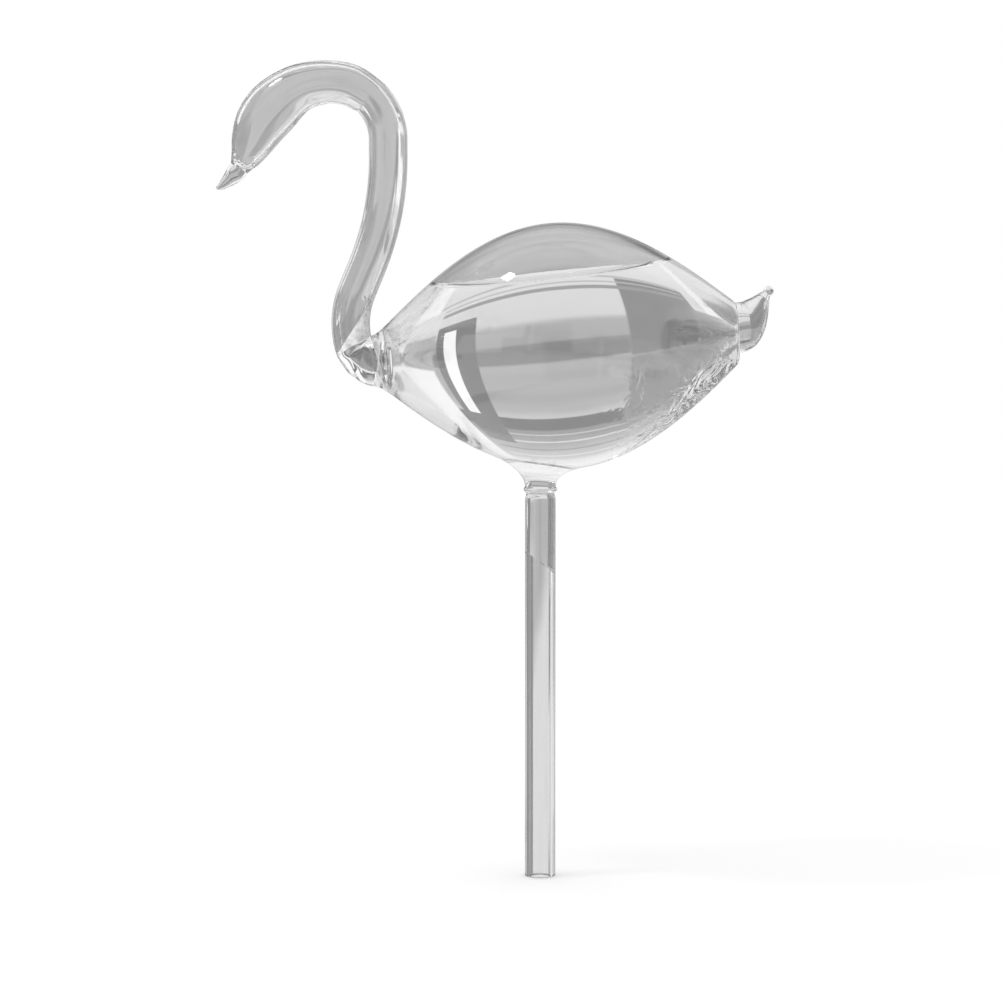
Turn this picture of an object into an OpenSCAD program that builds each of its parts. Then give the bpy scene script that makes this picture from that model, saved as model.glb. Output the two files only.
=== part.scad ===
// Watering globe: a clear blown-glass swan on a straight glass stem.
// The open end of the stem goes into the soil of a plant pot, and water runs down it.
// Millimetres. +Z up along the stem, -X towards the head, +X towards the tail.
// The origin is the middle of the stem's open bottom end. The swan lies in the XZ plane.

/* [Stem] */
// Outside diameter of the stem tube
stem_od = 8; // [6:0.5:9]
// Glass thickness of the stem tube
stem_wall = 1.2; // [0.8:0.1:1.6]
// Length of the stem tube, from its open end to the fused joint
stem_len = 99.6; // [60:0.2:160]
// Fire-polished rounding of the stem tube's ends
stem_round = 0.4; // [0.2:0.1:0.6]

/* [Fused joint and funnel] */
// Height of the fused joint above the stem tube
joint_h = 3; // [2:0.5:5]
// How far the waist of the joint is drawn in from the stem's outside
joint_waist = 0.3; // [0.1:0.1:0.5]
// Diameter of the glass of the ring round the joint
joint_ring_d = 1.4; // [0.8:0.1:1.8]
// How far the ring stands out from the stem's outside
joint_ring_out = 0.4; // [0.2:0.1:0.6]
// Height of the funnel under the belly of the globe
collar_h = 4.5; // [3.5:0.25:6]
// Radius of the bend from the stem into the funnel
collar_bend_r = 1.6; // [1:0.1:2.4]
// Slope of the funnel's wall, in degrees
collar_slope = 42; // [38:1:46]
// Glass thickness of the funnel
collar_wall = 1.2; // [0.8:0.1:1.6]

/* [Globe] */
// Largest radius of the globe
globe_r = 32.2; // [28:0.2:36]
// Half length of the globe's lemon shape, from its middle to where it runs to a point
globe_half = 55; // [50:0.5:60]
// Glass thickness of the globe
globe_wall = 1.2; // [0.8:0.1:1.6]
// How far the globe's middle lies towards the tail from the stem's axis
globe_shift = 5.2; // [0:0.2:8]
// Upward tilt of the globe towards the tail, in degrees
globe_tilt = 4.5; // [0:0.5:8]
// Length cut off the lemon's pointed rear, where the tail is sealed on
rear_cut = 8.6; // [7:0.2:10]

/* [Breast] */
// Length of the glass tip at the front of the lemon shape
tip_len = 10.8; // [10:0.2:12]
// Radius of the rounded nose of the breast
nose_r = 6.2; // [5.6:0.1:6.8]
// Distance of the nose's centre from the lemon's front point
nose_back = 6; // [5.5:0.1:7]
// Softness of the blend between nose and lemon
nose_blend = 1.5; // [0.5:0.1:2.5]

/* [Neck] */
// Outside diameter of the neck tube
neck_od = 10; // [8:0.5:11]
// Glass thickness of the neck tube
neck_wall = 1.8; // [1.2:0.1:2.2]
// How far the neck's forward belly stands in front of the nose's centre
neck_out = 5.9; // [5.5:0.1:6.5]
// Height of the neck's forward belly above the nose's centre
neck_up = 9.85; // [9:0.05:10.5]
// Bend radius of the neck's forward belly
low_bend_r = 22; // [20:0.5:24]
// Lean of the neck's middle stretch from upright, in degrees
neck_lean = 22.5; // [18:0.5:26]
// Length of the neck's straight middle stretch
mid_len = 6.5; // [2:0.5:15]
// Bend radius where the neck comes upright again
top_bend_r = 75; // [60:1:90]
// Length of the upright stretch under the crown
upright_len = 4.6; // [2:0.1:12]
// Bend radius of the crown
crown_r = 15.5; // [14:0.1:18]
// Turn of the crown at which the head is sealed on, in degrees
head_at = 45; // [35:1:50]

/* [Neck root and seal] */
// Bend radius of the fold at the neck's foot
fold_r = 6.8; // [6.4:0.1:7.2]
// Drop of the fold's middle below the neck's forward belly
fold_drop = 3; // [2.5:0.1:3.5]
// Place round the fold where the wedge of the seal starts, in degrees
seal_at = 208; // [204:1:212]
// Slope of the seal's lower face, in degrees
seal_low_slope = 30; // [26:1:34]
// Slope of the seal's upper face, in degrees
seal_high_slope = 57; // [48:1:64]
// Place round the fold of the root's rounded end, in degrees
root_at = 244; // [238:1:248]
// Radius of the air pocket in the root
pocket_r = 4.4; // [3.8:0.1:4.6]
// Glass thickness of the root round its pocket
root_wall = 1.4; // [1:0.1:1.6]

/* [Head and beak] */
// Glass thickness of the head
head_wall = 1.6; // [1:0.1:2]
// How far the beak's seam lies in front of the crown's middle
head_reach = 23.3; // [21:0.1:26]
// How much thicker the crown's top is than the neck, as a radius
crown_swell = 1; // [0:0.1:1.5]
// How far the crown's top is flattened
crown_flat = 0.6; // [0:0.1:1]
// Largest radius of the head
head_r = 7.2; // [6:0.1:8]
// Radius of the seam between head and beak
beak_r = 2.45; // [2:0.05:3]
// Length of the beak
beak_len = 8; // [6:0.5:12]

/* [Tail] */
// Glass thickness of the tail
tail_wall = 1.2; // [0.8:0.1:1.4]
// Radius of the tail's root
tail_root_r = 6.6; // [6:0.1:7]
// How far the tail's tip lies behind its root
tail_reach = 7.7; // [6:0.1:9]
// Height of the tail's tip above its root's middle
tail_rise = 8.9; // [7:0.1:11]
// Radius of the tail where the bead closes it
tail_end_r = 1.1; // [0.9:0.05:1.3]
// Radius of the bead on the tail's tip
bead_r = 1.35; // [1.35:0.05:1.8]

/* [Hidden] */

// A cut runs this far past the face that it opens
past = 1;
// Size of the blocks that cut the whole swan
far = 300;
// Points along one side of the lemon, along the nose, and in each short bend
wave_steps = 40;
nose_steps = 16;
bend_steps = 6;
// Rings in the neck's low bend, and between two sections of the head, beak or tail
low_steps = 9;
smooth_steps = 3;
$fn = 96;

stem_r = stem_od / 2;
bore_r = stem_r - stem_wall;
neck_r = neck_od / 2;
neck_bore_r = neck_r - neck_wall;
joint_top = stem_len + joint_h;

// The globe's middle, and places along its tilted axis
globe_mid = [globe_shift, 0, joint_top + collar_h + globe_r];
front_s = -(globe_half - tip_len);
rear_s = globe_half - rear_cut;
nose_s = -(globe_half - nose_back);
// The nose stops just short of its full ball, inside the glass of the neck's root
nose_end = nose_s - 0.9 * nose_r;
function on_axis(s, up = 0) = [
    globe_mid[0] + s * cos(globe_tilt) - up * sin(globe_tilt),
    globe_mid[2] + s * sin(globe_tilt) + up * cos(globe_tilt)
];

// Radius of the lemon shape at s from its middle: one half wave
function lemon_r(s) = globe_r * cos(90 * s / globe_half);
// Slope of that wave, which keeps the wall even
function lemon_slope(s) = globe_r / globe_half * PI / 2 * sin(90 * s / globe_half);
function inner_r(s) = lemon_r(s) - globe_wall * sqrt(1 + pow(lemon_slope(s), 2));
// Radius of the breast: the lemon and the rounded nose, blended
function ball_r(s) = abs(s - nose_s) < nose_r ? sqrt(pow(nose_r, 2) - pow(s - nose_s, 2)) : 0;
function soft_max(a, b, d) = (a + b + sqrt(pow(a - b, 2) + pow(d, 2))) / 2;
front_gain = soft_max(lemon_r(front_s), ball_r(front_s), nose_blend) - lemon_r(front_s);
function breast_r(s) = soft_max(lemon_r(s), ball_r(s), nose_blend)
    - front_gain * (s - nose_s) / (front_s - nose_s);
function steps(from, to, count) = [for (i = [0 : count]) from + (to - from) * i / count];

// The funnel's wall: a bend out of the stem, then a straight slope to the belly
collar_turn = 90 - collar_slope;
function bend_point(r, turn) = [
    stem_r + collar_bend_r - r * cos(turn), joint_top + r * sin(turn)
];
function slope_point(from, height) = [
    from[0] + (joint_top + height - from[1]) / tan(collar_slope), joint_top + height
];
collar_in_r = collar_bend_r + collar_wall;
// The slope is drawn this far up, and the lemon cuts it off
collar_reach = 3 * collar_h;
mouth_r = slope_point(bend_point(collar_in_r, collar_turn), collar_h)[0];

// The neck's centre line, from its forward belly up: arc, straight, arc, straight, arc
belly = on_axis(nose_s) + [-neck_out, neck_up];
low_mid = belly + [low_bend_r, 0];
lean_from = low_mid + low_bend_r * [-cos(neck_lean), sin(neck_lean)];
lean_to = lean_from + mid_len * [sin(neck_lean), cos(neck_lean)];
top_mid = lean_to + top_bend_r * [-cos(neck_lean), sin(neck_lean)];
upright_from = top_mid + [top_bend_r, 0];
crown_mid = upright_from + [-crown_r, upright_len];

// Below its belly the neck folds into the breast and ends in the rounded root
fold_mid = belly + [fold_r, -fold_drop];
root_mid = fold_mid + fold_r * [cos(root_at), sin(root_at)];
fold_turn = root_at - 180;

// The seal is a wedge whose edge lies across the outside of the fold
seal_edge = fold_mid + (fold_r + neck_r) * [cos(seal_at), sin(seal_at)];
// Size of the block that keeps the breast clear of the seal
seal_reach = 12;
// How far the seal's glass goes down round the neck's low bend, in degrees
seal_turn = 32;

// A section is its centre x and z, its radius, and the way the glass runs on, in degrees
function along_crown(turn, r, out) = [
    crown_mid[0] + (crown_r + out) * cos(turn), crown_mid[1] + (crown_r + out) * sin(turn), r, turn + 90
];
function from_crown(x, z, r, way) = [crown_mid[0] + x * head_reach, crown_mid[1] + z * crown_r, r, way];
function step_on(sec, len, turn, r) = [
    sec[0] + len * cos(sec[3] + turn), sec[1] + len * sin(sec[3] + turn), r, sec[3] + turn
];

// The crown swells a little towards the head; the head then narrows to the beak's seam.
// From the crown's top on, a section's place is shares of the head's reach and the crown's radius.
crown_top_r = neck_r + crown_swell;
head_sections = [
    along_crown(head_at, neck_r, 0),
    along_crown((head_at + 90) / 2, (neck_r + crown_top_r) / 2, 0),
    along_crown(90, crown_top_r, -crown_flat),
    from_crown(-0.253, 0.903, crown_top_r, 194),
    from_crown(-0.446, 0.755, head_r * 0.92, 213),
    from_crown(-0.618, 0.529, head_r, 227),
    from_crown(-0.764, 0.245, head_r * 0.94, 239),
    from_crown(-0.863, -0.065, head_r * 0.76, 246),
    from_crown(-0.931, -0.297, head_r * 0.55, 244),
    from_crown(-1, -0.477, beak_r, 241)
];
head_end = head_sections[len(head_sections) - 1];

// The beak bends back by this many degrees and ends in a small blunt tip
beak_bend = -19;
beak_tip_r = 0.45;
beak_sections = [
    head_end,
    step_on(head_end, beak_len * 0.25, beak_bend / 2, beak_r * 0.98),
    step_on(head_end, beak_len * 0.55, beak_bend * 0.7, beak_r * 0.7),
    step_on(head_end, beak_len * 0.84, beak_bend * 0.85, beak_r * 0.4),
    step_on(head_end, beak_len, beak_bend, beak_tip_r)
];

// The tail's root is flush with the globe at the top and leaves a step below
root_up = lemon_r(rear_s) - tail_root_r;
tail_foot = on_axis(rear_s, root_up);
// A section's place is shares of the tail's reach and rise, and its size a share of the root's
function from_tail(x, z, share, way) = [
    tail_foot[0] + x * tail_reach, tail_foot[1] + z * tail_rise,
    tail_end_r + (tail_root_r - tail_end_r) * share, way
];
tail_sections = [
    from_tail(0, 0, 1, globe_tilt),
    from_tail(0.21, 0.035, 0.98, 10),
    from_tail(0.4, 0.16, 0.86, 26),
    from_tail(0.585, 0.44, 0.58, 48),
    from_tail(0.79, 0.74, 0.27, 57),
    from_tail(1, 1, 0, 52)
];
tail_tip = tail_sections[len(tail_sections) - 1];
// The bead's middle lies this far past the tail's flat tip
bead_out = sqrt(pow(bead_r, 2) - pow(tail_end_r, 2));

// Smooth run through a list of sections: a Catmull-Rom curve on every number
function pick(list, i) = list[max(0, min(len(list) - 1, i))];
function curve(a, b, c, d, t) = 0.5 * (2 * b + (c - a) * t + (2 * a - 5 * b + 4 * c - d) * t * t
    + (3 * b - a - 3 * c + d) * t * t * t);
function between(list, i, t) = curve(
    pick(list, i - 1), pick(list, i), pick(list, i + 1), pick(list, i + 2), t
);
function smooth(list, parts) = [
    for (i = [0 : len(list) - 2], k = [0 : parts - 1]) between(list, i, k / parts),
    list[len(list) - 1]
];
// The same sections less the glass; the hollow never gets thinner than least_hollow_r
least_hollow_r = 0.3;
function thinner(sections, wall) = [
    for (s = sections) [s[0], s[1], max(s[2] - wall, least_hollow_r), s[3]]
];
// Sides of the rings that the skins are made of
sides = 28;
turns = [for (j = [0 : sides - 1]) 360 * j / sides];
function ring(s) = [
    for (u = turns)
    [s[0] - s[2] * cos(u) * sin(s[3]), s[2] * sin(u), s[1] + s[2] * cos(u) * cos(s[3])]
];
function rings(sections) = [for (s = sections) ring(s)];
function reversed(list) = [for (i = [len(list) - 1 : -1 : 0]) list[i]];

// A ring of the neck's low bend, from the seal's sloping face (share 0) up to the lean (share 1)
face_way = seal_high_slope - 90;
face_gap = (seal_edge - low_mid) * [cos(face_way), sin(face_way)];
function low_ring(r, share) = [
    for (u = turns)
    let (
        out = low_bend_r + r * cos(u),
        from = face_way - acos(face_gap / out) + 360,
        at = from + (180 - neck_lean - from) * share
    )
    [low_mid[0] + out * cos(at), r * sin(u), low_mid[1] + out * sin(at)]
];
// Sections round a bend, from one place round it to another
function round_arc(mid, bend_r, from, to, r, count) = [
    for (a = steps(from, to, count)) [mid[0] + bend_r * cos(a), mid[1] + bend_r * sin(a), r, a + 90]
];
// The neck's rings from the seal to the crown
function neck_rings(r) = concat(
    [for (share = steps(0, 1, low_steps)) low_ring(r, share)],
    rings(round_arc(top_mid, top_bend_r, -neck_lean, 0, r, bend_steps)),
    rings(round_arc(crown_mid, crown_r, 0, head_at, r, bend_steps))
);

// Skin through a row of rings of points; a loop joins its last ring to its first, the rest are capped
module skin(rows, loop = false) {
    count = len(rows);
    points = [for (row = rows, point = row) point];
    walls = [
        for (i = [0 : loop ? count - 1 : count - 2], j = [0 : sides - 1])
        let (k = (j + 1) % sides, a = i * sides, b = (i + 1) % count * sides)
        each [[a + j, b + k, b + j], [a + j, a + k, b + k]]
    ];
    first = [for (j = [sides - 1 : -1 : 0]) j];
    last = [for (j = [0 : sides - 1]) (count - 1) * sides + j];
    polyhedron(points, loop ? walls : concat([first], walls, [last]), convexity = 8);
}

// A horn with one open end: its skin runs from the hollow's end out to the rim and back outside
module horn(sections, wall) {
    hollow = smooth([for (i = [0 : len(sections) - 2]) sections[i]], smooth_steps);
    skin(rings(concat(reversed(thinner(hollow, wall)), smooth(sections, smooth_steps))));
}

// Turns a profile drawn as [radius, place on the axis] round the globe's axis
module round_globe() {
    translate(globe_mid) rotate([0, 90 - globe_tilt, 0]) rotate_extrude() children();
}

// The lemon's outer shape as one solid, which also cuts the funnel's top
module lemon_solid() {
    round_globe() polygon(concat(
        [for (s = steps(front_s, rear_s, wave_steps)) [lemon_r(s), s]],
        [[0, rear_s], [0, front_s]]
    ));
}

// A stretch of a round bar of radius r bent round mid, from one place round it to another
module bent_bar(mid, bend_r, r, from, turn) {
    translate([mid[0], 0, mid[1]]) rotate([90, 0, 0]) rotate([0, 0, from])
        rotate_extrude(angle = turn) translate([bend_r, 0]) circle(r);
}

// The folded foot of the neck, as a bar of radius r
module fold_bar(r) {
    bent_bar(fold_mid, fold_r, r, 180, fold_turn);
}

// The space above one of the seal's faces, as a block with its corner on the seal's edge
module above_seal(slope, reach) {
    at_seal(slope) translate([-reach, -reach / 2, 0]) cube([2 * reach, reach, reach]);
}

// The space below one of them
module below_seal(slope, reach) {
    at_seal(slope) translate([-reach, -reach / 2, -reach]) cube([2 * reach, reach, reach]);
}

// Puts a block on the seal's edge, turned up to a slope
module at_seal(slope) {
    translate([seal_edge[0], 0, seal_edge[1]]) rotate([0, -slope, 0]) children();
}

// Straight open tube that stands in the soil
module stem_tube() {
    color("lightsteelblue", 0.6) rotate_extrude() polygon([
        [bore_r, 0], [stem_r - stem_round, 0], [stem_r, stem_round],
        [stem_r, stem_len - stem_round], [stem_r - stem_round, stem_len], [bore_r, stem_len]
    ]);
}

// Fused waist and ring between stem and funnel
module stem_joint() {
    color("lightblue", 0.7) translate([0, 0, stem_len]) rotate_extrude() union() {
        translate([bore_r, 0]) square([stem_wall - joint_waist, joint_h]);
        intersection() {
            translate([stem_r + joint_ring_out - joint_ring_d / 2, joint_h - joint_ring_d / 2])
                circle(d = joint_ring_d);
            translate([bore_r, 0]) square([stem_od, joint_h]);
        }
    }
}

// Funnel that carries the globe and leads its water into the stem
module stem_collar() {
    bend_out = bend_point(collar_bend_r, collar_turn);
    color("powderblue", 0.7) difference() {
        rotate_extrude() polygon(concat(
            [for (a = steps(0, collar_turn, bend_steps)) bend_point(collar_bend_r, a)],
            [slope_point(bend_out, collar_reach)],
            [[mouth_r, joint_top + collar_reach], [mouth_r, joint_top + collar_h]],
            [for (a = steps(collar_turn, 0, bend_steps)) bend_point(collar_in_r, a)]
        ));
        lemon_solid();
    }
}

// Blown hollow chamber, open at the stem, at the breast and into the tail
module body_bulb() {
    wall_s = rear_s - globe_wall;
    color("aliceblue", 0.4) difference() {
        round_globe() polygon(concat(
            [for (s = steps(front_s, rear_s, wave_steps)) [lemon_r(s), s]],
            [[0, rear_s], [0, wall_s]],
            [for (s = steps(wall_s, front_s, wave_steps)) [inner_r(s), s]]
        ));
        cylinder(h = globe_mid[2], r = mouth_r);
        translate(globe_mid) rotate([0, 90 - globe_tilt, 0]) translate([-root_up, 0, wall_s - past])
            cylinder(h = globe_wall + 2 * past, r = tail_root_r - tail_wall);
    }
}

// Thick glass nose that closes the front of the chamber and holds the neck's root
module breast_tip() {
    color("lightcyan", 0.6) difference() {
        round_globe() polygon(concat(
            [for (s = steps(nose_end, front_s, nose_steps)) [breast_r(s), s]],
            [[0, front_s], [0, nose_end]]
        ));
        root_solid();
        above_seal(seal_low_slope, seal_reach);
    }
}

// Outer shape of the root: the folded neck and its swollen end
module root_solid() {
    fold_bar(neck_r);
    translate([root_mid[0], 0, root_mid[1]]) sphere(pocket_r + root_wall);
}

// Folded closed end of the neck tube, with its air pocket
module neck_root() {
    color("paleturquoise", 0.7) difference() {
        root_solid();
        fold_bar(neck_bore_r);
        translate([root_mid[0], 0, root_mid[1]]) sphere(pocket_r);
        above_seal(seal_low_slope, far);
    }
}

// Wedge of solid glass that closes the neck at the fold
module neck_seal() {
    color("azure", 0.8) difference() {
        bent_bar(low_mid, low_bend_r, neck_r, 180 - neck_lean, neck_lean + seal_turn);
        above_seal(seal_high_slope, far);
        below_seal(seal_low_slope, far);
    }
}

// Thick-walled neck, from the seal's sloping face up to the crown
module neck_tube() {
    color("lightskyblue", 0.6)
        skin(concat(neck_rings(neck_r), reversed(neck_rings(neck_bore_r))), loop = true);
}

// Crown and hollow head, open only where the neck joins it
module head() {
    color("lightblue", 0.6) horn(head_sections, head_wall);
}

// Solid pointed drop on the head
module beak() {
    color("cadetblue", 0.8) skin(rings(smooth(beak_sections, smooth_steps)));
}

// Upturned hollow horn at the rear, closed by its bead
module tail() {
    color("lightblue", 0.6) horn(tail_sections, tail_wall);
}

// Small solid bead on the tail's tip
module tail_bead() {
    color("cadetblue", 0.8) translate([tail_tip[0], 0, tail_tip[1]]) rotate([0, 90 - tail_tip[3], 0])
        intersection() {
            translate([0, 0, bead_out]) sphere(bead_r);
            cylinder(h = 2 * bead_r + bead_out, r = 2 * bead_r);
        }
}

stem_tube();
stem_joint();
stem_collar();
body_bulb();
breast_tip();
neck_root();
neck_seal();
neck_tube();
head();
beak();
tail();
tail_bead();
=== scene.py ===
from math import acos, asin, atan2, cos, degrees, exp, hypot, pi, radians, sin, sqrt, tan

import bmesh
import bpy
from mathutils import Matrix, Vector


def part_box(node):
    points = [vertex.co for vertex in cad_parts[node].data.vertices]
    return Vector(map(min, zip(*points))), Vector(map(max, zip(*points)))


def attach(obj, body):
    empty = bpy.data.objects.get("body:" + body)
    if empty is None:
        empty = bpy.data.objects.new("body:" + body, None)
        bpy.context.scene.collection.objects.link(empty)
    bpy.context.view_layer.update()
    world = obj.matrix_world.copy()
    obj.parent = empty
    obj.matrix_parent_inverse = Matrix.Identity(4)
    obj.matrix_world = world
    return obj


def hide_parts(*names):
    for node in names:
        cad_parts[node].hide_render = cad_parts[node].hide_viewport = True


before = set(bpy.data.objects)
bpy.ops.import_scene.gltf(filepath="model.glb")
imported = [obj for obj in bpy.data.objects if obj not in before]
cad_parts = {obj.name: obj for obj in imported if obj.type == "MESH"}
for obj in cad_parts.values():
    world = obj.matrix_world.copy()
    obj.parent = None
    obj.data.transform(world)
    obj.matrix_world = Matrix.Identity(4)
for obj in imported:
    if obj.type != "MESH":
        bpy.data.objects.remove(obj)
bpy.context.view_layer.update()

mm = 0.001  # shapes are drawn in millimetres and turned into metres when a mesh is made
sides = 144  # points round every tube
surfaceSteps = 60  # points across the water's surface in each slice
sharpAngle = 40  # edges that turn more than this, in degrees, stay crisp
sameCorner = 0.0005 * mm  # corners closer than this are one corner
nearTip = 84  # round ends stop this far round, in degrees, and a cap closes them


# Sections and rings. A section is x, z, radius and the way the glass runs on, in degrees

def ringAt(x, z, radius, way):
    up = Vector((-sin(radians(way)), 0, cos(radians(way))))
    out = Vector((0, 1, 0))
    middle = Vector((x, 0, z))
    turns = [2 * pi * i / sides for i in range(sides)]
    return [middle + radius * (up * cos(t) + out * sin(t)) for t in turns]


def ringsOf(sections):
    return [ringAt(*section) for section in sections]


def curveThrough(a, b, c, d, t):  # one stretch of a smooth curve from b to c
    bend, turn = 2 * a - 5 * b + 4 * c - d, 3 * b - a - 3 * c + d
    return 0.5 * (2 * b + (c - a) * t + bend * t * t + turn * t ** 3)


def smoothRun(sections, parts):
    run = []
    last = len(sections) - 1
    for i in range(last):
        four = [sections[max(0, min(last, k))] for k in (i - 1, i, i + 1, i + 2)]
        for step in range(parts):
            run.append([curveThrough(*values, step / parts) for values in zip(*four)])
    return run + [list(sections[-1])]


def stepsFrom(start, end, count):
    return [start + (end - start) * i / count for i in range(count + 1)]


def roundedEnd(section):
    # goes on from a hollow's last section to close it with a round end
    x, z, radius, way = section
    along = cos(radians(way)), sin(radians(way))
    return [
        [x + radius * sin(a) * along[0], z + radius * sin(a) * along[1], radius * cos(a), way]
        for a in stepsFrom(radians(12), radians(nearTip), 6)
    ]


# A shape collects skins of quads; each face keeps its place in the piece's list of finishes

def newShape():
    return {"corners": [], "faces": [], "finishes": []}


def addSkin(shape, rings, finish=0, inward=False):
    first = len(shape["corners"])
    count = len(rings[0])
    for ring in rings:
        shape["corners"] += ring
    for i in range(len(rings) - 1):
        for j in range(count):
            k = (j + 1) % count
            a, b = first + i * count, first + (i + 1) * count
            face = (a + j, a + k, b + k, b + j) if inward else (a + j, b + j, b + k, a + k)
            shape["faces"].append(face)
            shape["finishes"].append(finish)


def addCap(shape, ring, finish=0, inward=False):
    first = len(shape["corners"])
    count = len(ring)
    shape["corners"] += ring + [sum(ring, Vector()) / count]
    for j in range(count):
        a, b = first + j, first + (j + 1) % count
        shape["faces"].append((b, a, first + count) if inward else (a, b, first + count))
        shape["finishes"].append(finish)


def newMesh(name, shape, materials, turnOutward=False):
    mesh = bpy.data.meshes.new(name)
    mesh.from_pydata([corner * mm for corner in shape["corners"]], [], shape["faces"])
    for material in materials:
        mesh.materials.append(material)
    for face, finish in zip(mesh.polygons, shape["finishes"]):
        face.material_index = finish
    work = bmesh.new()
    work.from_mesh(mesh)
    bmesh.ops.remove_doubles(work, verts=work.verts, dist=sameCorner)
    if turnOutward:
        bmesh.ops.recalc_face_normals(work, faces=work.faces)
    work.to_mesh(mesh)
    work.free()
    return mesh


def addObject(name, data):
    thing = bpy.data.objects.new(name, data)
    bpy.context.scene.collection.objects.link(thing)
    return thing


def smoothOver(mesh, angle=sharpAngle):
    mesh.shade_smooth()
    mesh.set_sharp_from_angle(angle=radians(angle))


def makePiece(name, shape, materials, slotName, *nodes):
    piece = addObject(name, newMesh(name, shape, materials))
    smoothOver(piece.data)
    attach(piece, "root")
    if nodes:
        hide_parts(*nodes)
    return piece


# Nodes that several finishes and the studio share

def newMaterial(name):
    material = bpy.data.materials.new(name)
    material.use_nodes = True
    tree = material.node_tree
    tree.nodes.clear()
    return material, tree, tree.nodes.new("ShaderNodeOutputMaterial")


def addNumber(tree, operation, a, b=None, c=None):
    node = tree.nodes.new("ShaderNodeMath")
    node.operation = operation
    for socket, value in zip(node.inputs, (a, b, c)):
        if isinstance(value, bpy.types.NodeSocket):
            tree.links.new(value, socket)
        elif value is not None:
            socket.default_value = value
    return node.outputs["Value"]


def addStep(tree, value, start, end):  # 0 before start, 1 after end, smooth between
    node = tree.nodes.new("ShaderNodeMapRange")
    node.interpolation_type = "SMOOTHSTEP"
    tree.links.new(value, node.inputs["Value"])
    node.inputs["From Min"].default_value = start
    node.inputs["From Max"].default_value = end
    return node.outputs["Result"]


def addNoise(tree, scale, detail, swirl=0):
    place = tree.nodes.new("ShaderNodeTexCoord")
    noise = tree.nodes.new("ShaderNodeTexNoise")
    noise.inputs["Scale"].default_value = scale
    noise.inputs["Detail"].default_value = detail
    noise.inputs["Distortion"].default_value = swirl
    tree.links.new(place.outputs["Object"], noise.inputs["Vector"])
    return noise.outputs["Fac"]


def addBump(tree, shader, height, strength, distance, before=None):
    bump = tree.nodes.new("ShaderNodeBump")
    bump.inputs["Strength"].default_value = strength
    bump.inputs["Distance"].default_value = distance
    tree.links.new(height, bump.inputs["Height"])
    if before is not None:
        tree.links.new(before, bump.inputs["Normal"])
    tree.links.new(bump.outputs["Normal"], shader.inputs["Normal"])


# Glass and water

glass = {
    "ior": 1.47,
    "waterIor": 1.33,
    "globeTint": 0.97,
    "tubeTint": 0.99,
    "solidTint": 0.98,
    # the pocket's glass is darkened to half: painted shade for how dark the air bubble looks
    "pocketPaintedShade": 0.5,
    "neckClear": 0.93,  # the neck is a little milky
    "waveHeight": 0.0002,
}

weld = {
    "tint": 0.96, "roughness": 0.08, "bubbles": 420, "milky": 0.05, "clear": 0.6,
    "rough": 0.6, "roughHeight": 0.0003,
}

# low on the rear half of the globe
ripples = {
    "scale": 120, "swirl": 1.5, "high": 0.0007,
    "xFrom": 0.012, "xTo": 0.034, "zFrom": 0.141, "zTo": 0.129,
}


def newGlass(name, tint, ior, roughness=0):
    material, tree, output = newMaterial(name)
    shader = tree.nodes.new("ShaderNodeBsdfPrincipled")
    shader.inputs["Base Color"].default_value = (tint, tint, tint, 1)
    shader.inputs["IOR"].default_value = ior
    shader.inputs["Roughness"].default_value = roughness
    tree.links.new(shader.outputs["BSDF"], output.inputs["Surface"])
    return material, tree, shader


def makeGlass(name, tint, wave, scale, ior=glass["ior"], clear=1):
    material, tree, shader = newGlass(name, tint, ior)
    shader.inputs["Transmission Weight"].default_value = clear
    addBump(tree, shader, addNoise(tree, scale, 1), wave, glass["waveHeight"])
    return material


def makeWeld(name):
    # glass fused in a hurry: full of fine bubbles that turn it milky
    material, tree, shader = newGlass(name, weld["tint"], glass["ior"], weld["roughness"])
    bubbles = addNoise(tree, weld["bubbles"], 2)
    share = tree.nodes.new("ShaderNodeMapRange")
    share.inputs["From Min"].default_value = 0.35
    share.inputs["From Max"].default_value = 0.65
    share.inputs["To Min"].default_value = weld["milky"]
    share.inputs["To Max"].default_value = weld["clear"]
    tree.links.new(bubbles, share.inputs["Value"])
    tree.links.new(share.outputs["Result"], shader.inputs["Transmission Weight"])
    addBump(tree, shader, bubbles, weld["rough"], weld["roughHeight"])
    return material


def addRipples(material):
    # the globe was blown unevenly here, which puts small swirls in what shows through it
    tree = material.node_tree
    shader = tree.nodes["Principled BSDF"]
    before = shader.inputs["Normal"].links[0].from_socket
    place = tree.nodes.new("ShaderNodeTexCoord")
    axes = tree.nodes.new("ShaderNodeSeparateXYZ")
    tree.links.new(place.outputs["Object"], axes.inputs["Vector"])
    rearward = addStep(tree, axes.outputs["X"], ripples["xFrom"], ripples["xTo"])
    low = addStep(tree, axes.outputs["Z"], ripples["zFrom"], ripples["zTo"])
    where = addNumber(tree, "MULTIPLY", rearward, low)
    height = addNumber(tree, "MULTIPLY", addNoise(tree, ripples["scale"], 2, ripples["swirl"]), where)
    addBump(tree, shader, height, 1, ripples["high"], before)


def makeSeam(name):  # where two pieces are fused there is no glass surface to see
    material, tree, output = newMaterial(name)
    clear = tree.nodes.new("ShaderNodeBsdfTransparent")
    tree.links.new(clear.outputs["BSDF"], output.inputs["Surface"])
    return material


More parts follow.
